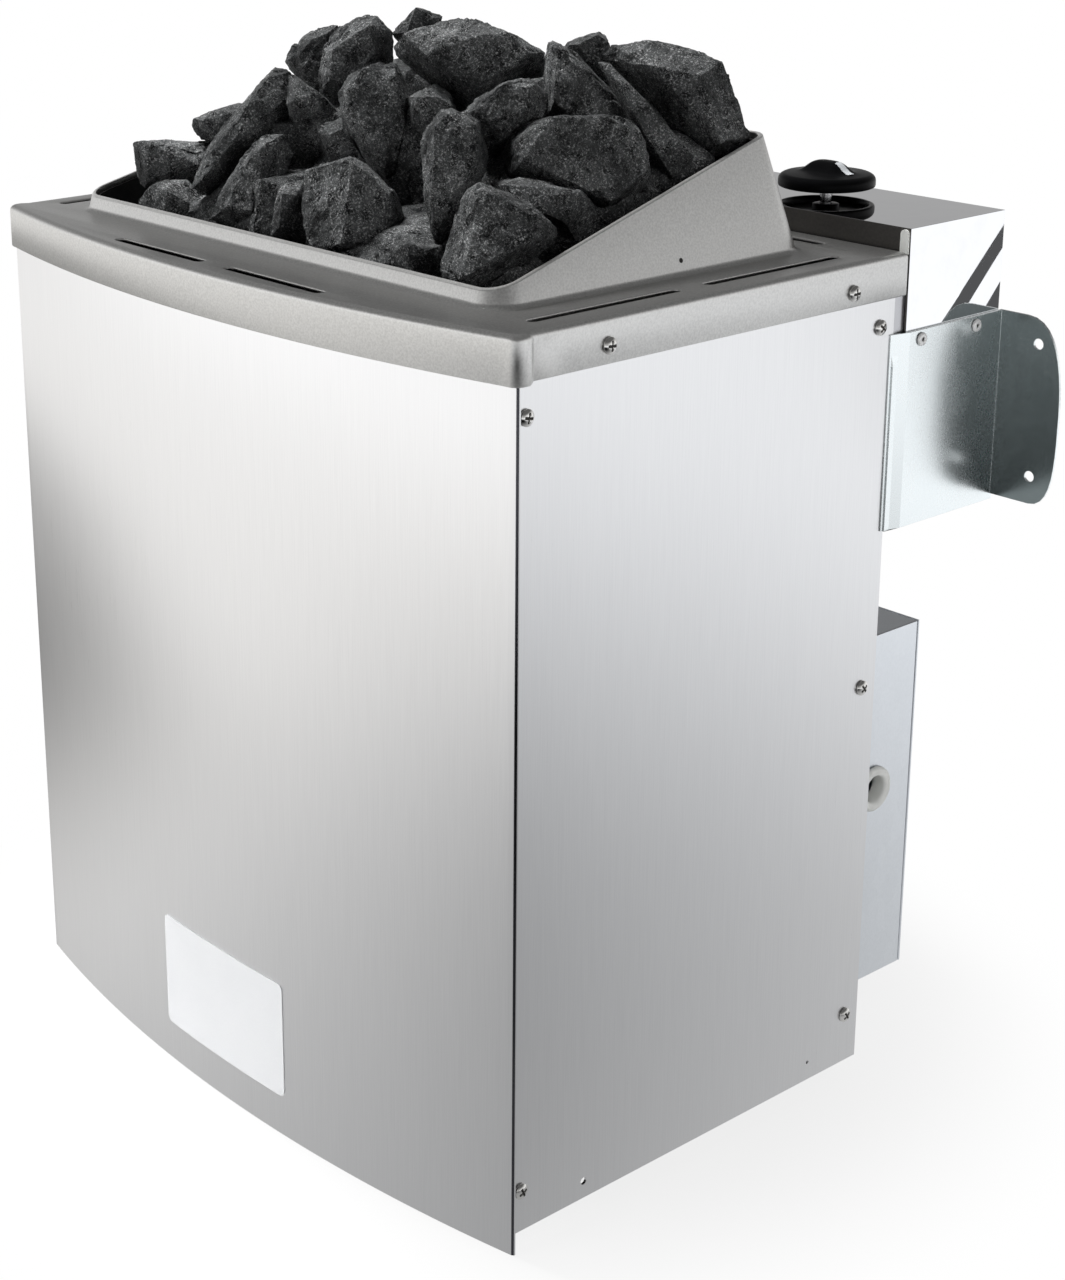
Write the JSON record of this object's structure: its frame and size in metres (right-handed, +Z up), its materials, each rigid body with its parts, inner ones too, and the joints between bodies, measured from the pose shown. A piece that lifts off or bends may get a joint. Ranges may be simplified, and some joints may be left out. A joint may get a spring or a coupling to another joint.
{
  "type": "sauna heater",
  "caption": "Wall-hung electric sauna heater: bowed steel body, painted collar with a sloping stone guard, loose stones, control box with turning knobs and galvanised wall brackets.",
  "frame": {"origin": "middle of the overall box, on the surface that the heater stands on", "axes": "+X to the right seen from the front, +Y to the wall behind, +Z up"},
  "size_m": [0.4886, 0.363, 0.5615],
  "materials": {
    "stainless": "fine upright brushing",
    "polished_steel": "mirror polished",
    "collar_paint": "satin warm grey with a fine grain",
    "black_steel": "matt black",
    "element_steel": "dull grey tube",
    "galvanised_steel": "galvanised, slightly blue",
    "control_housing": "matt",
    "shaft_steel": "bright turned steel",
    "black_plastic": "semi-gloss black",
    "cream_plastic": "satin cream",
    "steatite": "matt",
    "label_paper": "blank satin white",
    "nickel_fasteners": "bright nickel",
    "rock": "rough broken rock with pale grains"
  },
  "bodies": {
    "heater": {"stone_bed": "rock", "top_collar": "collar_paint", "rear_panel": "galvanised_steel", "stone_floor": "black_steel", "front_panel": "stainless", "side_panel_right": "stainless", "side_panel_left": "stainless", "control_cover": "polished_steel", "junction_box": "galvanised_steel", "heating_element_1": "element_steel", "heating_element_2": "element_steel", "heating_element_3": "element_steel", "bracket_right": "galvanised_steel", "bracket_left": "galvanised_steel", "cable_grommet": "cream_plastic", "control_tray": "stainless", "stone_compartment": "black_steel", "terminal_block": "steatite", "collar_screw_1_right": "nickel_fasteners", "collar_screw_1_left": "nickel_fasteners", "collar_screw_2_right": "nickel_fasteners", "collar_screw_2_left": "nickel_fasteners", "front_screw_1_right": "nickel_fasteners", "front_screw_1_left": "nickel_fasteners", "front_screw_2_right": "nickel_fasteners", "front_screw_2_left": "nickel_fasteners", "rear_screw_1_right": "nickel_fasteners", "rear_screw_1_left": "nickel_fasteners", "rear_screw_2_right": "nickel_fasteners", "rear_screw_2_left": "nickel_fasteners", "rear_screw_3_right": "nickel_fasteners", "rear_screw_3_left": "nickel_fasteners", "rivet_1_right": "nickel_fasteners", "rivet_1_left": "nickel_fasteners", "rivet_2_right": "nickel_fasteners", "rivet_2_left": "nickel_fasteners", "thermostat": "control_housing", "timer": "control_housing", "stone_9": "rock", "stone_16": "rock", "stone_11": "rock", "stone_7": "rock", "stone_10": "rock", "stone_14": "rock", "stone_8": "rock", "front_label": "label_paper", "stone_2": "rock", "stone_4": "rock", "stone_12": "rock", "stone_13": "rock", "stone_15": "rock", "stone_5": "rock", "stone_1": "rock", "stone_3": "rock", "stone_6": "rock", "junction_cover": "galvanised_steel"},
    "thermostat_dial": {"thermostat_shaft": "shaft_steel", "thermostat_knob": "black_plastic"},
    "timer_dial": {"timer_shaft": "shaft_steel", "timer_knob": "black_plastic"}
  },
  "joints": [
    {"name": "thermostat_turn", "type": "hinge", "parent": "heater", "child": "thermostat_dial", "pos_m": [0.114, 0.1468, 0.4685], "axis": [0, 0, -1], "range_deg": [0, 270]},
    {"name": "timer_turn", "type": "hinge", "parent": "heater", "child": "timer_dial", "pos_m": [-0.114, 0.1468, 0.4685], "axis": [0, 0, -1], "range_deg": [0, 330]}
  ]
}
